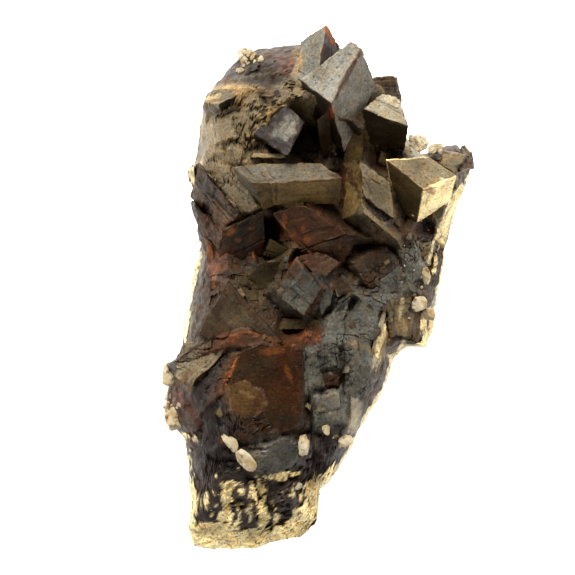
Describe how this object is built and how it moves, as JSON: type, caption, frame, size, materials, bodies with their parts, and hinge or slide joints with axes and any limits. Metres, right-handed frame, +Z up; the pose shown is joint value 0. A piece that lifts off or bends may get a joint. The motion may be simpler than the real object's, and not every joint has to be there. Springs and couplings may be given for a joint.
{
  "type": "siderite mineral specimen",
  "caption": "Hand specimen of blocky brown siderite rhombohedra on a pale sugary matrix, lying on its flat-cut back, with small pale quartz grains.",
  "frame": {"origin": "centre of the bounding box's underside: the plane of the flat-cut back that the specimen lies on", "axes": "X across the specimen, Y along its length from the narrow foot to the crown, Z up out of the flat-cut back towards the crystals"},
  "size_m": [0.0565, 0.0945, 0.036],
  "materials": {
    "siderite": "earthy brown-grey cleavage faces with rust stains",
    "pale_rock": "cream sugary rock, matt",
    "pale_quartz": "cream to white grains, waxy"
  },
  "bodies": {
    "root": {"matrix": "pale_rock", "siderite_crystals": "siderite", "quartz_grain_01": "pale_quartz", "quartz_grain_02": "pale_quartz", "quartz_grain_03": "pale_quartz", "quartz_grain_04": "pale_quartz", "quartz_grain_05": "pale_quartz", "quartz_grain_06": "pale_quartz", "quartz_grain_07": "pale_quartz", "quartz_grain_08": "pale_quartz", "quartz_grain_09": "pale_quartz", "quartz_grain_10": "pale_quartz", "quartz_grain_11": "pale_quartz", "quartz_grain_12": "pale_quartz", "quartz_grain_13": "pale_quartz", "quartz_grain_14": "pale_quartz"}
  },
  "joints": []
}
